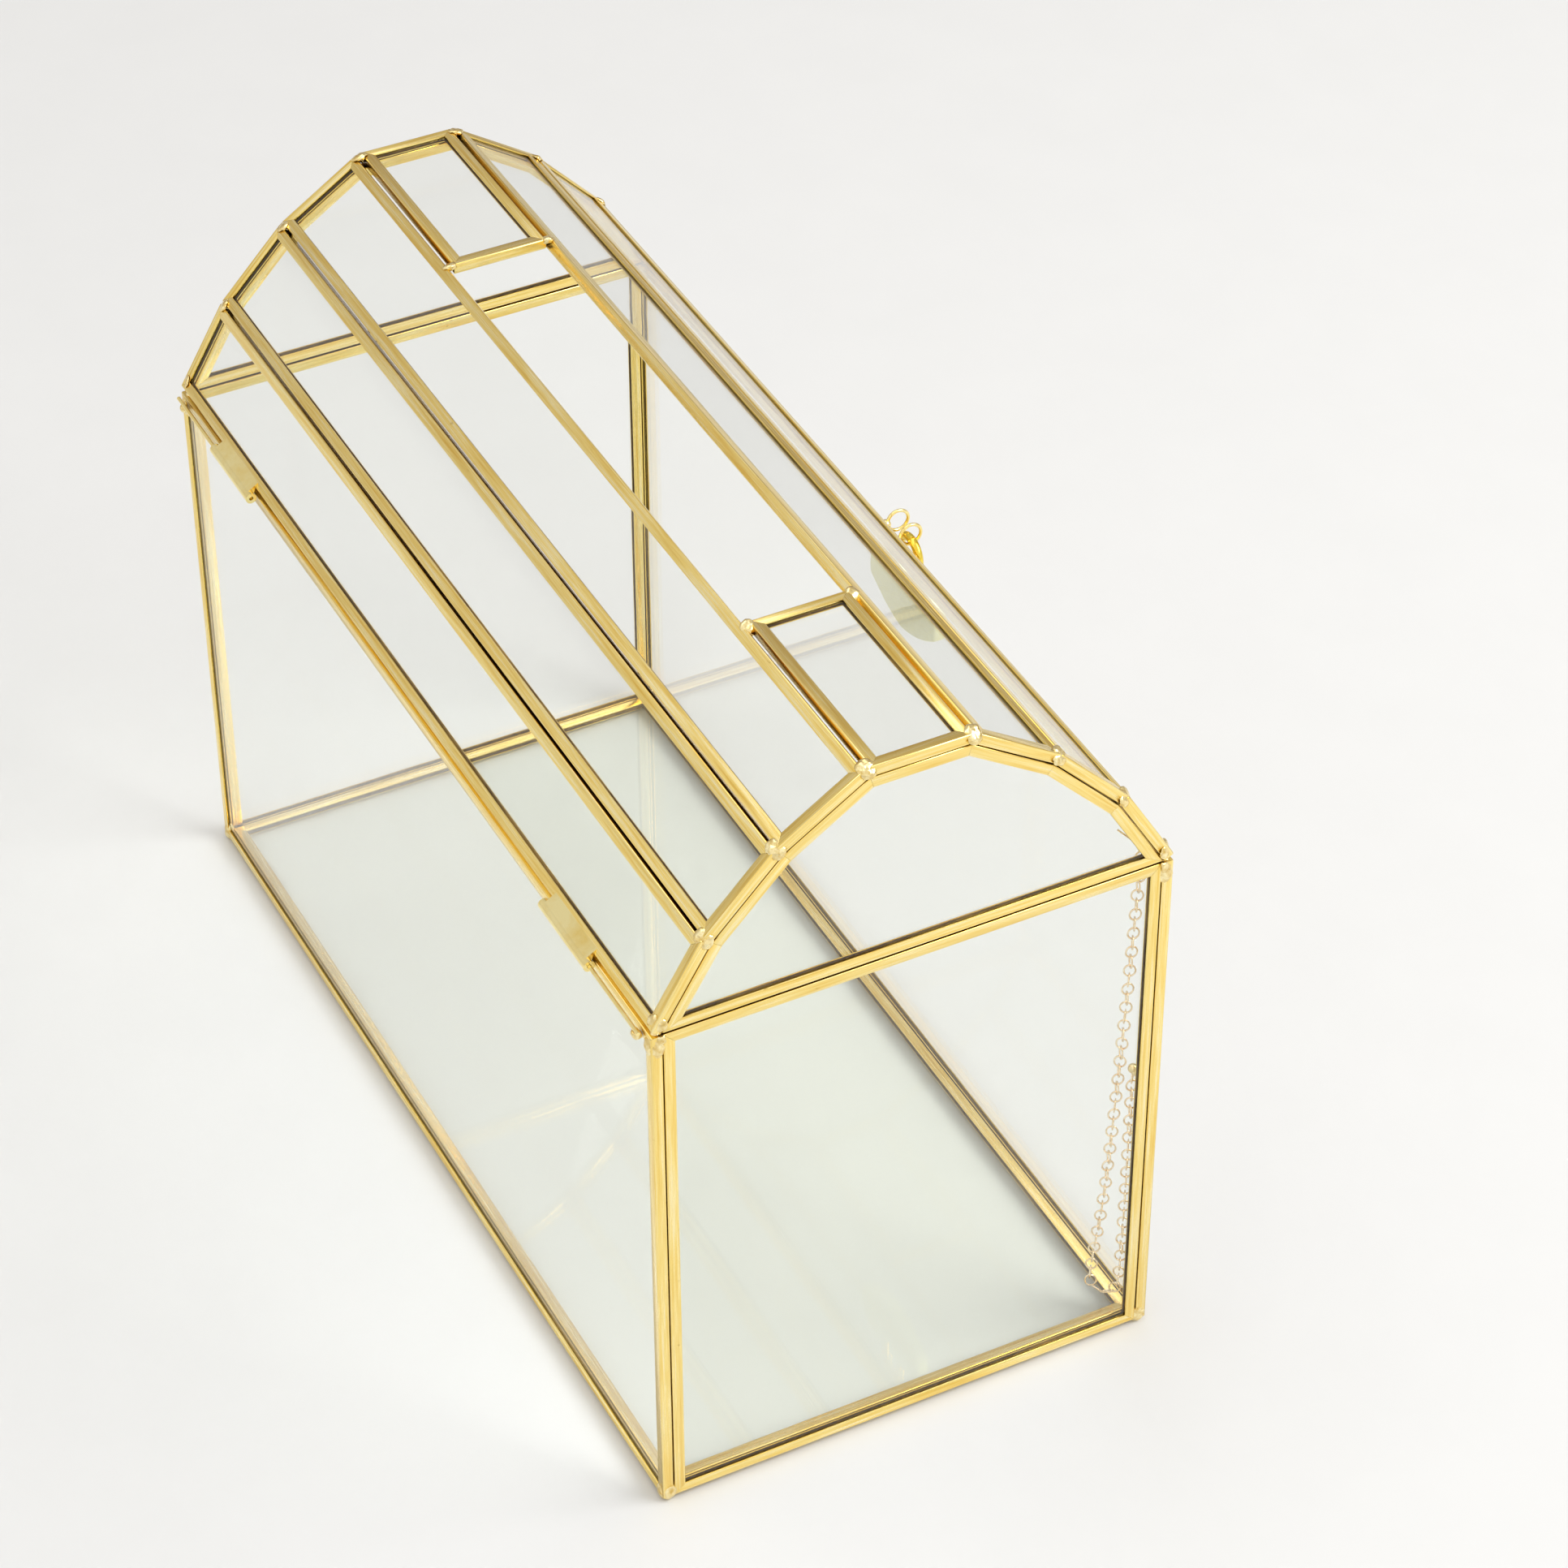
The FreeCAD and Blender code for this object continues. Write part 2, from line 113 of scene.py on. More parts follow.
def smoothPath(points):
    curve = bpy.data.curves.new("route", "CURVE")
    curve.dimensions = "3D"
    curve.resolution_u = stay["curveSteps"]
    spline = curve.splines.new("NURBS")
    spline.points.add(len(points) - 1)
    for slot, point in zip(spline.points, points):
        slot.co = (*point, 1.0)
    spline.order_u = stay["curveOrder"]
    spline.use_endpoint_u = True
    holder = linkPiece("route", curve)
    bpy.context.view_layer.update()
    settled = holder.evaluated_get(bpy.context.evaluated_depsgraph_get())
    made = bpy.data.meshes.new_from_object(settled)
    line = [vertex.co.copy() for vertex in made.vertices]
    bpy.data.meshes.remove(made)
    bpy.data.objects.remove(holder)
    return line


def alongLine(line, distance):
    for start, end in zip(line, line[1:]):
        run = (end - start).length
        if distance <= run:
            return start.lerp(end, distance / run), (end - start).normalized()
        distance -= run
    return line[-1].copy(), (line[-1] - line[-2]).normalized()


def lineLength(line):
    return sum((b - a).length for a, b in zip(line, line[1:]))


def makeLink():
    clearSelection()
    ringRadius = stay["linkWide"] / 2 - stay["wire"]
    bpy.ops.mesh.primitive_torus_add(
        major_segments=stay["ringSides"], minor_segments=stay["wireSides"],
        major_radius=ringRadius, minor_radius=stay["wire"])
    link = bpy.context.object
    stretch = (stay["linkLong"] / 2 - stay["wire"]) / ringRadius
    bpy.ops.object.mode_set(mode="EDIT")
    bpy.ops.mesh.select_all(action="SELECT")
    bpy.ops.transform.resize(value=(stretch, 1.0, 1.0))
    bpy.ops.object.mode_set(mode="OBJECT")
    bpy.ops.object.shade_smooth()
    return link


def makeStrand(name, line, link, dice, flip):
    length = lineLength(line)
    count = max(stay["fewestLinks"], round(length / stay["pitch"]))
    step = length / count
    towards = Vector(shot["back"])
    copies = []
    for number in range(count):
        place, along = alongLine(line, (number + 0.5) * step)
        facing = (towards - along * towards.dot(along)).normalized()
        if (number + flip) % 2:
            facing = along.cross(facing).normalized()
        lean = math.radians(dice.uniform(-1, 1) * stay["wobble"])
        facing = Matrix.Rotation(lean, 3, along) @ facing
        side = facing.cross(along).normalized()
        seat = Matrix((along, side, facing)).transposed().to_4x4()
        mesh = link.data.copy()
        mesh.transform(Matrix.Translation(place) @ seat)
        copies.append(linkPiece(name + "_link", mesh))
    clearSelection()
    for copy in copies:
        copy.select_set(True)
    bpy.context.view_layer.objects.active = copies[0]
    bpy.ops.object.join()
    strand = bpy.context.object
    strand.name = name
    return strand


route = smoothPath([stay["lidEye"], *stay["downRun"], *stay["upRun"], stay["postEye"]])
foldAt = min(range(len(route)), key=lambda i: (route[i] - Vector(stay["fold"])).length)
lidLine = route[:foldAt + 1]
postLine = route[foldAt:][::-1]
chainDice = random.Random(stay["seed"])
chainLink = makeLink()
lidStrand = makeStrand("lid_stay_links", lidLine, chainLink, chainDice, 0)
postStrand = makeStrand("post_stay_links", postLine, chainLink, chainDice, 1)
bpy.data.objects.remove(chainLink)
strands = (
    (lidStrand, "lid_chain", "lid_chain_strand", stay["lidEye"], stay["lidLength"], lidLine),
    (postStrand, "post_chain", "post_chain_strand", stay["postEye"], stay["postLength"], postLine),
)
for strand, body, node, eye, length, line in strands:
    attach(strand, body)
    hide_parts(node)
    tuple(eye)
    [tuple(point) for point in line]
print("chain made", round(lineLength(lidLine), 4), round(lineLength(postLine), 4))


def blankMaterial(name):
    material = bpy.data.materials.new(name)
    material.use_nodes = True
    tree = material.node_tree
    return material, tree, tree.nodes["Principled BSDF"]


def addNode(tree, kind, **values):
    node = tree.nodes.new(kind)
    for key, value in values.items():
        if hasattr(node, key):
            setattr(node, key, value)
        else:
            node.inputs[key].default_value = value
    return node


def patternFrom(tree, source, scale):
    coordinates = addNode(tree, "ShaderNodeTexCoord")
    mapping = addNode(tree, "ShaderNodeMapping")
    mapping.inputs["Scale"].default_value = scale
    tree.links.new(coordinates.outputs[source], mapping.inputs["Vector"])
    return mapping.outputs["Vector"]


def noiseOn(tree, vector, scale, detail=4.0, roughness=0.55):
    noise = addNode(tree, "ShaderNodeTexNoise", Scale=scale, Detail=detail, Roughness=roughness)
    tree.links.new(vector, noise.inputs["Vector"])
    return noise.outputs["Fac"]


def rampOn(tree, value, stops):
    ramp = addNode(tree, "ShaderNodeValToRGB")
    band = ramp.color_ramp
    while len(band.elements) < len(stops):
        band.elements.new(0.5)
    for element, (position, colour) in zip(band.elements, stops):
        element.position = position
        element.color = (*colour, 1.0)
    tree.links.new(value, ramp.inputs["Fac"])
    return ramp.outputs["Color"]


def grey(level):
    return (level, level, level)


def evenPattern(tree):
    return patternFrom(tree, "Object", (1.0, 1.0, 1.0))


def greyRamp(tree, value, low, high):
    # Each end is a place on the ramp and a level.
    return rampOn(tree, value, [(low[0], grey(low[1])), (high[0], grey(high[1]))])


def blendColours(tree, share, first, second, how="MIX"):
    mix = addNode(tree, "ShaderNodeMix", data_type="RGBA", blend_type=how)
    for socket, value in (("Factor", share), ("A", first), ("B", second)):
        index = {"Factor": 0, "A": 6, "B": 7}[socket]
        if isinstance(value, bpy.types.NodeSocket):
            tree.links.new(value, mix.inputs[index])
        elif socket == "Factor":
            mix.inputs[index].default_value = value
        else:
            mix.inputs[index].default_value = (*value, 1.0)
    return mix.outputs[2]


def bumpFrom(tree, height, strength, distance, shader):
    bump = addNode(tree, "ShaderNodeBump", Strength=strength, Distance=distance)
    tree.links.new(height, bump.inputs["Height"])
    tree.links.new(bump.outputs["Normal"], shader.inputs["Normal"])


brushedLook = {
    "dark": (0.84, 0.53, 0.09),
    "mid": (0.97, 0.75, 0.26),
    "light": (1.0, 0.90, 0.56),
    "spot": (0.50, 0.30, 0.06),
    "seamShadeAndTarnish": (0.150, 0.066, 0.006),
    "paintedGoldReflection": (1.0, 0.88, 0.36),
    "seamReach": 1.8 * mm,
    "rough": ((0.3, 0.15), (0.7, 0.34)),
    "wideStreak": (28.0, 900.0, 1.0),
    "wideDetail": 3.0,
    "fineStreak": (90.0, 7000.0, 1.0),
    "fineDetail": 5.0,
    "fineRough": 0.7,
    "fineShare": 0.4,
    "tonePlaces": (0.33, 0.50, 0.66),
    "spotScale": 260.0,
    "spotDetail": 6.0,
    "spotRough": 0.6,
    "spotShare": ((0.69, 0.0), (0.76, 0.75)),
    "paintedReflectionShare": ((0.45, 0.85), (0.90, 0.0)),
    "seamShadeAndTarnishShare": ((0.16, 1.0), (0.56, 0.0)),
    "closenessSamples": 6,
    "dent": 0.22,
    "dentDeep": 0.06 * mm,
}


def paintSeamShadeAndReflection(tree, tone):
    # Painted shade in the seams and crevices, partly tarnish that the polishing wheel doesn't reach,
    # with a painted reflection of deeper gold beside it.
    closeness = addNode(tree, "ShaderNodeAmbientOcclusion", samples=brushedLook["closenessSamples"])
    closeness.inputs["Distance"].default_value = brushedLook["seamReach"]
    # Painted reflection: warmer, deeper gold multiplied in close to the seams.
    paintedReflectionMask = greyRamp(tree, closeness.outputs["AO"], *brushedLook["paintedReflectionShare"])
    tone = blendColours(tree, paintedReflectionMask, tone, brushedLook["paintedGoldReflection"], "MULTIPLY")
    # Painted shade, partly tarnish: dark brown where the seams close in.
    share = greyRamp(tree, closeness.outputs["AO"], *brushedLook["seamShadeAndTarnishShare"])
    return blendColours(tree, share, tone, brushedLook["seamShadeAndTarnish"])


def brushedGold():
    material, tree, shader = blankMaterial("brushed gold")
    look = brushedLook
    wide = noiseOn(tree, patternFrom(tree, "UV", look["wideStreak"]), 1.0, look["wideDetail"])
    fine = noiseOn(tree, patternFrom(tree, "UV", look["fineStreak"]), 1.0, look["fineDetail"],
                   look["fineRough"])
    streak = blendColours(tree, look["fineShare"], wide, fine)
    tone = rampOn(tree, streak, list(zip(look["tonePlaces"],
                                         (look["dark"], look["mid"], look["light"]))))
    blotch = noiseOn(tree, evenPattern(tree), look["spotScale"], look["spotDetail"],
                     look["spotRough"])
    spots = greyRamp(tree, blotch, *look["spotShare"])
    # Painted shade (partly tarnish) in the seams and painted gold reflection beside them.
    tone = paintSeamShadeAndReflection(tree, blendColours(tree, spots, tone, look["spot"]))
    tree.links.new(tone, shader.inputs["Base Color"])
    tree.links.new(greyRamp(tree, streak, *look["rough"]), shader.inputs["Roughness"])
    shader.inputs["Metallic"].default_value = 1.0
    bumpFrom(tree, streak, look["dent"], look["dentDeep"], shader)
    return material


# Dark finish for the faces inside the U channel: painted shade between the glass and the channel walls,
# partly tarnish there.
channelShadeAndTarnishLook = {
    "dark": (0.075, 0.032, 0.006),
    "light": (0.16, 0.078, 0.016),
    "patch": (0.50, 0.30, 0.06),
    "patchShare": ((0.50, 0.0), (0.66, 0.85)),
    "tonePlaces": (0.35, 0.65),
    "grainScale": 700.0,
    "patchScale": 26.0,
    "patchDetail": 3.0,
    "rough": ((0.3, 0.32), (0.7, 0.55)),
    "metal": 0.75,
    "dent": 0.3,
    "dentDeep": 0.05 * mm,
}


def channelShadeAndTarnish():
    material, tree, shader = blankMaterial("painted shade and tarnish in the channel")
    look = channelShadeAndTarnishLook
    grain = noiseOn(tree, evenPattern(tree), look["grainScale"])
    tone = rampOn(tree, grain, list(zip(look["tonePlaces"], (look["dark"], look["light"]))))
    patch = noiseOn(tree, evenPattern(tree), look["patchScale"], look["patchDetail"])
    tone = blendColours(tree, greyRamp(tree, patch, *look["patchShare"]), tone, look["patch"])
    tree.links.new(tone, shader.inputs["Base Color"])
    tree.links.new(greyRamp(tree, grain, *look["rough"]), shader.inputs["Roughness"])
    shader.inputs["Metallic"].default_value = look["metal"]
    bumpFrom(tree, grain, look["dent"], look["dentDeep"], shader)
    return material


glassLook = {
    "ior": 1.5,
    "wipeStretch": (9.0, 22.0, 22.0),
    "wipeDetail": 5.0,
    "wipeRough": 0.6,
    "wipePlaces": (0.5, 0.75),
    "waveScale": 14.0,
    "waveDetail": 2.0,
    "wave": 0.05,
    "waveDeep": 1.0 * mm,
}


def clearGlass(name, tint, smear):
    material, tree, shader = blankMaterial(name)
    shader.inputs["Base Color"].default_value = (*tint, 1.0)
    shader.inputs["Transmission Weight"].default_value = 1.0
    shader.inputs["IOR"].default_value = glassLook["ior"]
    wipe = noiseOn(tree, patternFrom(tree, "Object", glassLook["wipeStretch"]), 1.0,
                   glassLook["wipeDetail"], glassLook["wipeRough"])
    clean, wiped = glassLook["wipePlaces"]
    rough = greyRamp(tree, wipe, (clean, 0.0), (wiped, smear))
    tree.links.new(rough, shader.inputs["Roughness"])
    wave = noiseOn(tree, evenPattern(tree), glassLook["waveScale"], glassLook["waveDetail"])
    bumpFrom(tree, wave, glassLook["wave"], glassLook["waveDeep"], shader)
    clear = addNode(tree, "ShaderNodeBsdfTransparent")
    clear.inputs["Color"].default_value = (*tint, 1.0)
    rays = addNode(tree, "ShaderNodeLightPath")
    mix = addNode(tree, "ShaderNodeMixShader")
    output = tree.nodes["Material Output"]
    tree.links.new(rays.outputs["Is Shadow Ray"], mix.inputs[0])
    tree.links.new(shader.outputs["BSDF"], mix.inputs[1])
    tree.links.new(clear.outputs["BSDF"], mix.inputs[2])
    tree.links.new(mix.outputs["Shader"], output.inputs["Surface"])
    return material


castLook = {
    "detail": 5.0,
    "noiseRough": 0.6,
    "tonePlaces": (0.32, 0.62),
    "roughPlaces": (0.3, 0.7),
    "dentDeep": 0.12 * mm,
}


def castGold(name, dark, light, rough, scale, dent):
    material, tree, shader = blankMaterial(name)
    lumps = noiseOn(tree, evenPattern(tree), scale, castLook["detail"], castLook["noiseRough"])
    tone = rampOn(tree, lumps, list(zip(castLook["tonePlaces"], (dark, light))))
    tree.links.new(tone, shader.inputs["Base Color"])
    polish = greyRamp(tree, lumps, *zip(castLook["roughPlaces"], rough))
    tree.links.new(polish, shader.inputs["Roughness"])
    shader.inputs["Metallic"].default_value = 1.0
    bumpFrom(tree, lumps, dent, castLook["dentDeep"], shader)
    return material


goldSheet = brushedGold()
channelShadeAndTarnishFinish = channelShadeAndTarnish()
wallGlass = clearGlass("clear pane", tint=(0.984, 0.991, 0.983), smear=0.03)
floorGlass = clearGlass("floor pane", tint=(0.925, 0.935, 0.90), smear=0.05)
solderGold = castGold("plated solder", dark=(0.72, 0.49, 0.14), light=(0.98, 0.85, 0.48),
                      rough=(0.12, 0.30), scale=600.0, dent=0.30)
wireGold = castGold("bright wire", dark=(0.95, 0.72, 0.24), light=(1.0, 0.87, 0.44),
                    rough=(0.14, 0.24), scale=110.0, dent=0.02)
linkGold = castGold("champagne link", dark=(0.84, 0.62, 0.36), light=(0.99, 0.86, 0.62),
                    rough=(0.12, 0.26), scale=800.0, dent=0.10)
caseGold = castGold("satin lock case", dark=(0.93, 0.88, 0.40), light=(0.99, 0.96, 0.54),
                    rough=(0.36, 0.48), scale=420.0, dent=0.08)
plugGold = castGold("lock plug", dark=(0.52, 0.38, 0.13), light=(0.80, 0.62, 0.26),
                    rough=(0.24, 0.38), scale=600.0, dent=0.12)
shackleGold = castGold("polished shackle", dark=(0.82, 0.56, 0.05), light=(0.96, 0.74, 0.12),
                       rough=(0.08, 0.18), scale=300.0, dent=0.05)
print("finishes made")

for strand in (lidStrand, postStrand):
    strand.data.materials.clear()
    strand.data.materials.append(linkGold)

# Cames: mitred strips of U-shaped channel round each pane.
came = {
    "shortest": 7.0 * mm,
    "outerRound": 0.42 * mm,
    "lipRound": 0.09 * mm,
    "channelWide": (1.0 * mm, 2.9 * mm),
    "merge": 0.005 * mm,
    "flat": 0.5,
    "sharp": 30,
    "smooth": 35,
    "outerSteps": 4,
    "lipSteps": 2,
    "alongStep": 0.37,
    "acrossStep": 0.11,
    "tooShort": 0.1,
    "placeDigits": 6,
}


def mergedCopy(node, name):
    piece = linkPiece(name, frame["nodes"][node].data.copy())
    piece.data.materials.clear()
    pick(piece)
    bpy.ops.mesh.customdata_custom_splitnormals_clear()
    bpy.ops.object.mode_set(mode="EDIT")
    bpy.ops.mesh.select_all(action="SELECT")
    bpy.ops.mesh.remove_doubles(threshold=came["merge"])
    bpy.ops.mesh.select_all(action="DESELECT")
    bpy.ops.object.mode_set(mode="OBJECT")
    return piece


def faceLong(face):
    return max(edge.calc_length() for edge in face.edges)


def selectIn(piece, kind, test):
    bpy.ops.object.mode_set(mode="EDIT")
    bpy.ops.mesh.select_mode(type=kind)
    bpy.ops.mesh.select_all(action="DESELECT")
    shape = bmesh.from_edit_mesh(piece.data)
    for part in (shape.faces if kind == "FACE" else shape.edges):
        if test(part):
            part.select_set(True)
    shape.select_flush_mode()
    bmesh.update_edit_mesh(piece.data)


def cameStrips(piece):
    # The joints between strips are parted first, so that each strip is a closed bar of its own.
    selectIn(piece, "FACE", lambda face: faceLong(face) < came["shortest"])
    bpy.ops.mesh.delete(type="FACE")
    selectIn(piece, "EDGE", lambda edge: edge.calc_length() < came["shortest"])
    bpy.ops.mesh.edge_split(type="EDGE")
    bpy.ops.mesh.select_all(action="SELECT")
    bpy.ops.mesh.fill_holes(sides=0)
    bpy.ops.mesh.select_all(action="SELECT")
    bpy.ops.mesh.dissolve_limited(angle_limit=math.radians(came["flat"]))
    bpy.ops.mesh.select_all(action="SELECT")
    bpy.ops.mesh.normals_make_consistent(inside=False)
    bpy.ops.object.mode_set(mode="OBJECT")


def faceWide(face):
    runs = sorted(edge.calc_length() for edge in face.edges)[-2:]
    return face.calc_area() / (sum(runs) / 2)


def isBarFace(face):
    return faceLong(face) > came["shortest"]


def inChannel(face):
    low, high = came["channelWide"]
    return isBarFace(face) and low < faceWide(face) < high


def isOuterCorner(edge):
    if len(edge.link_faces) != 2 or edge.calc_length() < came["shortest"]:
        return False
    return edge.is_convex and all(faceWide(face) > came["channelWide"][1] for face in edge.link_faces)


def isSharp(edge):
    if len(edge.link_faces) != 2 or not edge.is_convex:
        return False
    return edge.calc_face_angle() > math.radians(came["sharp"])


def placeOrder(part):
    # Modifiers and operators may number faces differently each time, but their places are fixed.
    spot = part.calc_center_median()
    return tuple(round(value, came["placeDigits"]) for value in spot)


def settledSign(direction):
    strongest = max(direction, key=abs)
    return direction if strongest > 0 else -direction


def markStrips(piece):
    # Each face keeps its strip's direction in a map along the strip, in metres.
    shape = bmesh.new()
    shape.from_mesh(piece.data)
    shape.normal_update()
    grid = shape.loops.layers.uv.new("along")
    waiting = set(shape.faces)
    number = 0
    for seed in sorted(shape.faces, key=placeOrder):
        if seed not in waiting:
            continue
        waiting.discard(seed)
        island, edgeOfIsland = [seed], [seed]
        while edgeOfIsland:
            face = edgeOfIsland.pop()
            for edge in face.edges:
                for other in edge.link_faces:
                    if other in waiting:
                        waiting.discard(other)
                        island.append(other)
                        edgeOfIsland.append(other)
        edges = (edge for face in island for edge in face.edges)
        longest = max(edges, key=lambda edge: edge.calc_length())
        along = settledSign((longest.verts[1].co - longest.verts[0].co).normalized())
        number += 1
        for face in island:
            across = face.normal.cross(along)
            if across.length < came["tooShort"]:
                across = along.orthogonal()
            across.normalize()
            for loop in face.loops:
                spot = loop.vert.co
                loop[grid].uv = (spot.dot(along) + number * came["alongStep"],
                                 spot.dot(across) + number * came["acrossStep"])
    shape.to_mesh(piece.data)
    shape.free()


def makeCame(node):
    piece = mergedCopy(node, node.replace("_came", "_channel"))
    piece.data.materials.append(goldSheet)
    piece.data.materials.append(channelShadeAndTarnishFinish)
    cameStrips(piece)
    # Faces inside the channel take the dark finish: painted shade, partly tarnish.
    selectIn(piece, "FACE", inChannel)
    piece.active_material_index = 1
    bpy.ops.object.material_slot_assign()
    selectIn(piece, "EDGE", isOuterCorner)
    bpy.ops.mesh.bevel(offset=came["outerRound"], segments=came["outerSteps"], affect="EDGES")
    selectIn(piece, "EDGE", isSharp)
    bpy.ops.mesh.bevel(offset=came["lipRound"], segments=came["lipSteps"], affect="EDGES")
    bpy.ops.object.mode_set(mode="OBJECT")
    markStrips(piece)
    pick(piece)
    bpy.ops.object.shade_smooth_by_angle(angle=math.radians(came["smooth"]))
    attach(piece, bodyOf[node])
    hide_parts(node)


bodies = frame["record"]["behaviour"]["bodies"]
bodyOf = {node: body for body, members in bodies.items() for node in members}
cameNodes = sorted(node for node in frame["nodes"] if node.endswith("_came"))
for node in cameNodes:
    makeCame(node)
print("cames made", len(cameNodes))

for node, piece in sorted(frame["nodes"].items()):
    if node.endswith("_glass"):
        piece.data.materials.clear()
        piece.data.materials.append(floorGlass if node == "floor_glass" else wallGlass)
print("glass finished")

solder = {
    "grain": 0.30 * mm,
    "swell": 0.75 * mm,
    "lumpSize": 1.6 * mm,
    "skinHigh": 4.6 * mm,
    "skinWide": 2.7 * mm,
    "skinIn": 2.05 * mm,
    "footHigh": 3.6 * mm,
    "squeeze": 0.62,
    "spread": 1.22,
    "pinSpread": 0.72,
    "sink": 0.25 * mm,
    "endShare": 0.75,
    "middleHigh": 0.9,
    "topDrop": 0.85,
    "footLift": 0.45,
    "noiseDepth": 2,
    "middle": 0.5,
    "softness": 0.5,
    "softRounds": 2,
    "ballSides": 20,
    "ballRings": 12,
}
lumpPattern = bpy.data.textures.new("solder lumps", "CLOUDS")
lumpPattern.noise_scale = solder["lumpSize"]
lumpPattern.noise_depth = solder["noiseDepth"]


def applyAll(piece):
    pick(piece)
    for modifier in list(piece.modifiers):
        bpy.ops.object.modifier_apply(modifier=modifier.name)


def makeLumpy(piece):
    even = piece.modifiers.new("even", "REMESH")
    even.mode = "VOXEL"
    even.voxel_size = solder["grain"]
    rough = piece.modifiers.new("rough", "DISPLACE")
    rough.texture = lumpPattern
    rough.texture_coords = "LOCAL"
    rough.strength = solder["swell"]
    rough.mid_level = solder["middle"]
    soft = piece.modifiers.new("soft", "SMOOTH")
    soft.factor = solder["softness"]
    soft.iterations = solder["softRounds"]
    applyAll(piece)
    # Nothing reaches below the surface that the box stands on.
    for vert in piece.data.vertices:
        vert.co.z = max(vert.co.z, 0.0)
    bpy.ops.object.shade_smooth()


def islandsOf(shape):
    waiting = set(shape.verts)
    for seed in shape.verts:
        if seed not in waiting:
            continue
        waiting.discard(seed)
        island = [seed]
        for vert in island:
            for edge in vert.link_edges:
                other = edge.other_vert(vert)
                if other in waiting:
                    waiting.discard(other)
                    island.append(other)
        yield island


def flattenLumps(piece, squeeze, spread):
    # A bead of solder that has run: lower than it was, and wider along the seams.
    shape = bmesh.new()
    shape.from_mesh(piece.data)
    for island in islandsOf(shape):
        centre = sum((vert.co for vert in island), Vector()) / len(island)
        level = (centre - boxMiddle).yz.normalized()
        outward = Vector((math.copysign(solder["endShare"], centre.x), *level)).normalized()
        for vert in island:
            offset = vert.co - centre
            rise = offset.dot(outward)
            aside = offset - outward * rise
            vert.co = centre + aside * spread + outward * (rise * squeeze - solder["sink"])
    shape.to_mesh(piece.data)
    shape.free()


boxMiddle = Vector((0.0, 0.0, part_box("front_came")[1].z * solder["middleHigh"]))
solderNodes = ["solder_feet", "rim_solder", "gable_solder_left", "gable_solder_right", "slot_solder",
               "left_pin_solder", "right_pin_solder"]
for node in solderNodes:
    piece = mergedCopy(node, node + "_lumps")
    piece.data.materials.append(solderGold)
    if node != "solder_feet":
        spread = solder["pinSpread"] if "pin" in node else solder["spread"]
        flattenLumps(piece, solder["squeeze"], spread)
    makeLumpy(piece)
    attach(piece, bodyOf[node])
    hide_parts(node)


def addLump(place, size):
    clearSelection()
    bpy.ops.mesh.primitive_uv_sphere_add(
        segments=solder["ballSides"], ring_count=solder["ballRings"], radius=1.0, location=place)
    bpy.ops.object.mode_set(mode="EDIT")
    bpy.ops.mesh.select_all(action="SELECT")
    bpy.ops.transform.resize(value=size, center_override=place)
    bpy.ops.object.mode_set(mode="OBJECT")
    return bpy.context.object


def joinAs(name, parts):
    clearSelection()
    for part in parts:
        part.select_set(True)
    bpy.context.view_layer.objects.active = parts[0]
    bpy.ops.object.join()
    joined = bpy.context.object
    joined.name = name
    bpy.ops.object.transform_apply(location=True, rotation=True, scale=True)
    return joined


# Solder that has flowed over the corner seams at the top and the foot of each post.
bodyLow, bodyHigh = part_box("front_came")
halfLong = bodyHigh.x
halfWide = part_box("back_came")[1].y
for high, name in ((True, "post_top_solder"), (False, "post_foot_solder")):
    parts = []
    for sideX in (-1, 1):
        for sideY in (-1, 1):
            tall = solder["skinHigh"] if high else solder["footHigh"]
            level = bodyHigh.z - tall * solder["topDrop"]
            if not high:
                level = bodyLow.z + tall * solder["footLift"]
            place = (sideX * (halfLong - solder["skinIn"]), sideY * (halfWide - solder["skinIn"]), level)
            parts.append(addLump(place, (solder["skinWide"], solder["skinWide"], tall)))
    piece = joinAs(name, parts)
    piece.data.materials.append(solderGold)
    makeLumpy(piece)
    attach(piece, "box_body")
print("solder made")

# Wire parts, hinges and padlock keep their CAD shapes.
keptFinish = {
    "left_hinge_tube": wireGold, "right_hinge_tube": wireGold,
    "left_hinge_pin": wireGold, "right_hinge_pin": wireGold,
    "lid_lock_ring": wireGold, "body_lock_ring": wireGold,
    "chain_lid_eye": solderGold, "chain_post_eye": solderGold,
    "padlock_case": caseGold, "padlock_plug": plugGold, "padlock_shackle": shackleGold,
}
for node, finish in keptFinish.items():
    frame["nodes"][node].data.materials.clear()
    frame["nodes"][node].data.materials.append(finish)
print("wire, hinges and padlock finished")

studio = {
    "floorSize": 9.0,
    "floorTone": (0.715, 0.715, 0.71),
    "keyPower": 19.0,
    "skyNear": (1.0, 1.0, 0.99),
    "skyFar": (0.42, 0.38, 0.34),
    "skyStrength": 1.02,
    "skyAxis": (-0.891, 0.453, 0.35),
    "skySpan": (-0.9, 0.6),
    "grainScale": 30.0,
    "grainDetail": 6.0,
    "grainShade": 0.985,
    "grainPlaces": (0.3, 0.7),
    "rough": 0.6,
    "keyPlace": (-0.85, -1.05, 1.35),
    "keySize": (1.0, 1.0),
    "topPlace": (0.35, 0.2, 1.9),
    "topSize": (1.6, 0.7),
    "topPower": 5.0,
    "aim": (0.0, 0.0, 0.1),
}
clearSelection()
bpy.ops.mesh.primitive_plane_add(size=studio["floorSize"], location=(0, 0, 0))
floor = bpy.context.object
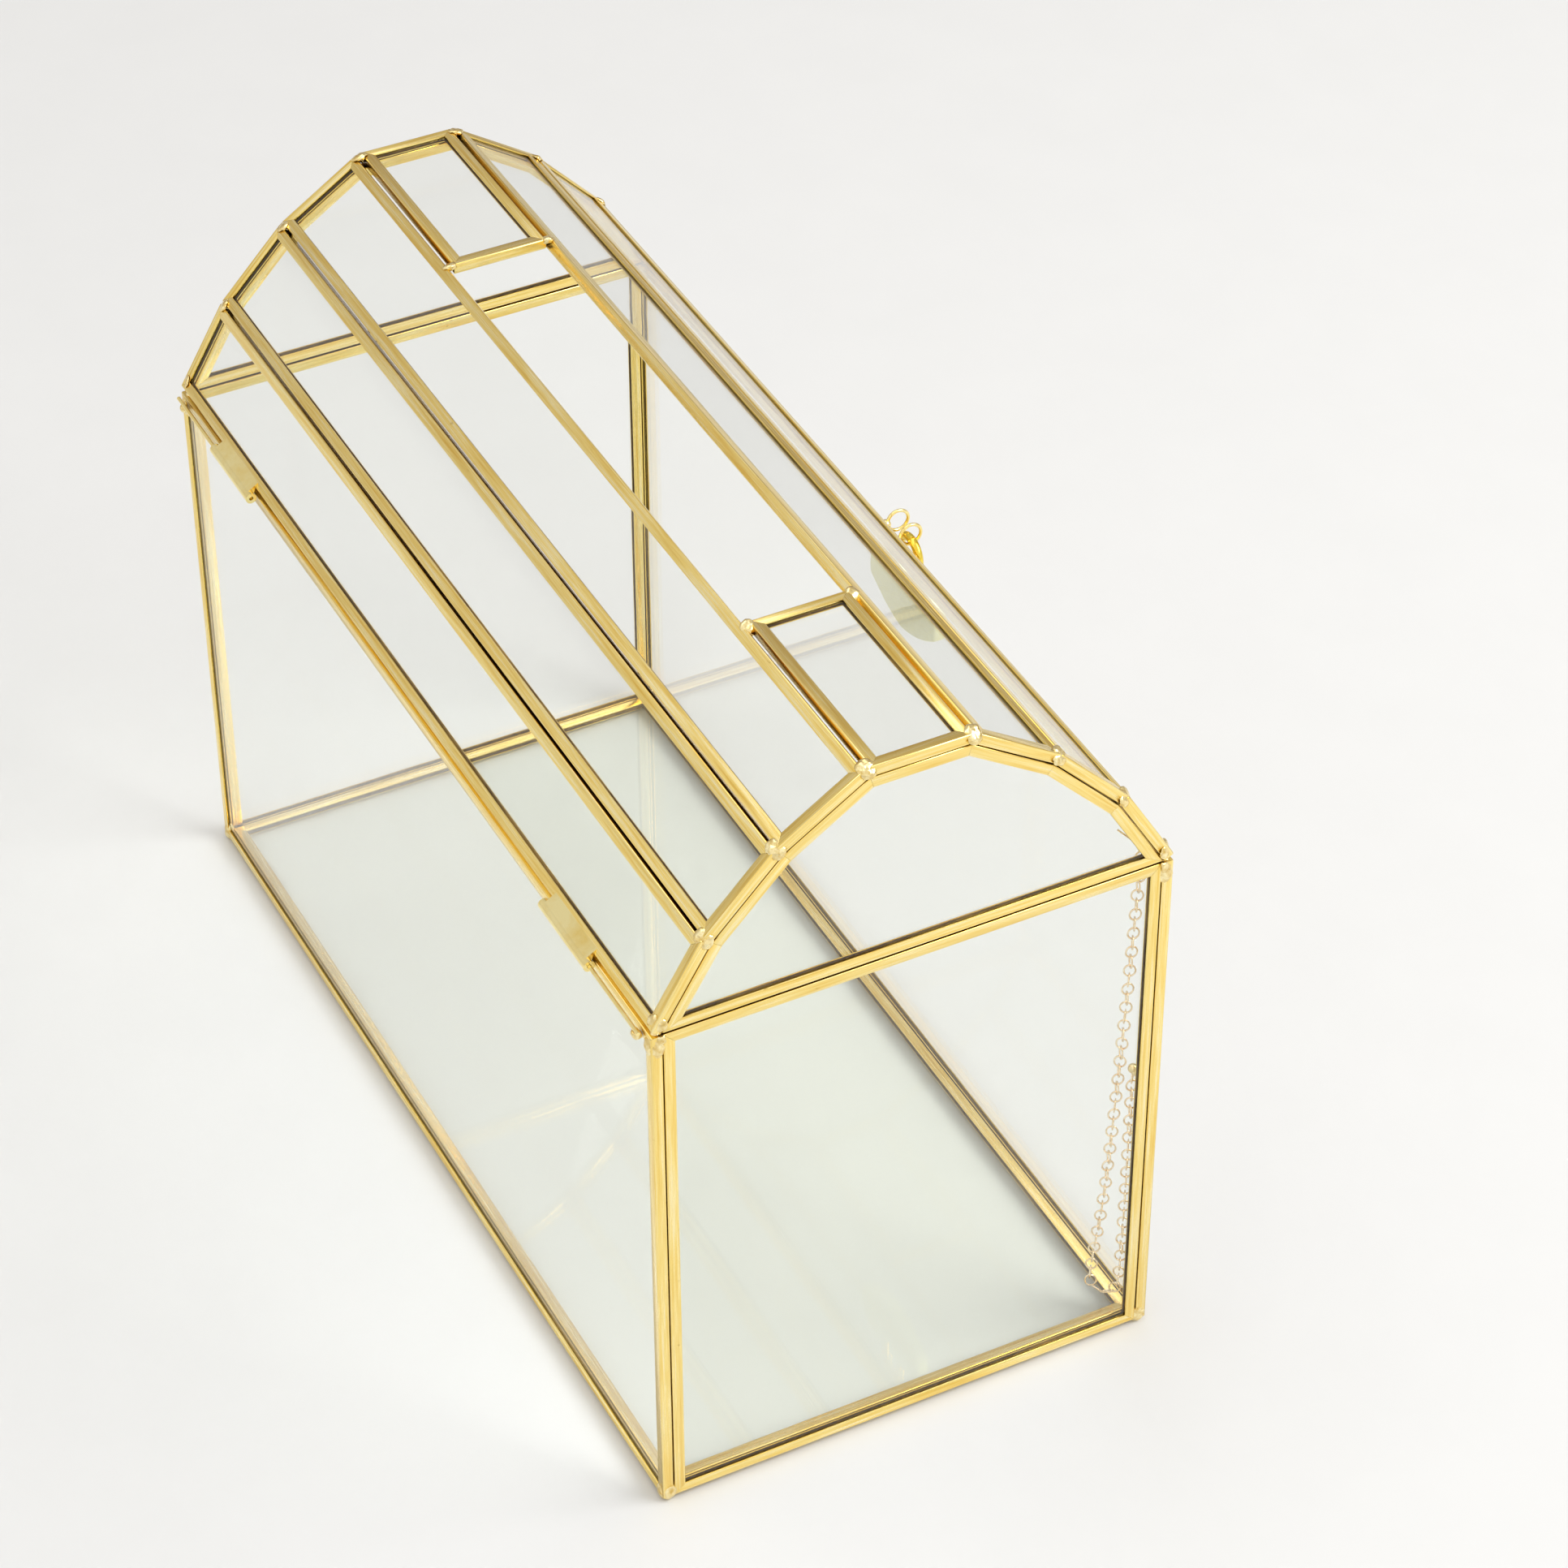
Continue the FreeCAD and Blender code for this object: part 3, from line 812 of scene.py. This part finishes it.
floor.name = "table_top"
floorPaint, floorTree, floorShader = blankMaterial("table paint")
floorGrain = noiseOn(floorTree, evenPattern(floorTree), studio["grainScale"], studio["grainDetail"])
shaded = tuple(level * studio["grainShade"] for level in studio["floorTone"])
floorTone = rampOn(floorTree, floorGrain,
                   list(zip(studio["grainPlaces"], (shaded, studio["floorTone"]))))
floorTree.links.new(floorTone, floorShader.inputs["Base Color"])
floorShader.inputs["Roughness"].default_value = studio["rough"]
floor.data.materials.append(floorPaint)

sky = bpy.data.worlds.new("studio")
scene.world = sky
sky.use_nodes = True
skyTree = sky.node_tree
direction = addNode(skyTree, "ShaderNodeTexCoord")
axis = addNode(skyTree, "ShaderNodeVectorMath", operation="DOT_PRODUCT")
axis.inputs[1].default_value = studio["skyAxis"]
skyTree.links.new(direction.outputs["Generated"], axis.inputs[0])
across = addNode(skyTree, "ShaderNodeMapRange")
across.inputs["From Min"].default_value = studio["skySpan"][0]
across.inputs["From Max"].default_value = studio["skySpan"][1]
skyTree.links.new(axis.outputs["Value"], across.inputs["Value"])
skyTone = rampOn(skyTree, across.outputs["Result"],
                 [(0.0, studio["skyFar"]), (1.0, studio["skyNear"])])
skyLight = skyTree.nodes["Background"]
skyLight.inputs["Strength"].default_value = studio["skyStrength"]
skyTree.links.new(skyTone, skyLight.inputs["Color"])


def addSoftbox(name, place, size, power):
    lamp = bpy.data.lights.new(name, "AREA")
    lamp.shape = "RECTANGLE"
    lamp.size = size[0]
    lamp.size_y = size[1]
    lamp.energy = power
    holder = bpy.data.objects.new(name, lamp)
    scene.collection.objects.link(holder)
    holder.location = place
    aim = Vector(studio["aim"]) - Vector(place)
    holder.rotation_mode = "QUATERNION"
    holder.rotation_quaternion = aim.to_track_quat("-Z", "Y")


addSoftbox("key softbox", studio["keyPlace"], studio["keySize"], studio["keyPower"])
addSoftbox("top softbox", studio["topPlace"], studio["topSize"], studio["topPower"])
scene.view_settings.view_transform = "Standard"
print("stage set")

bpy.context.view_layer.update()
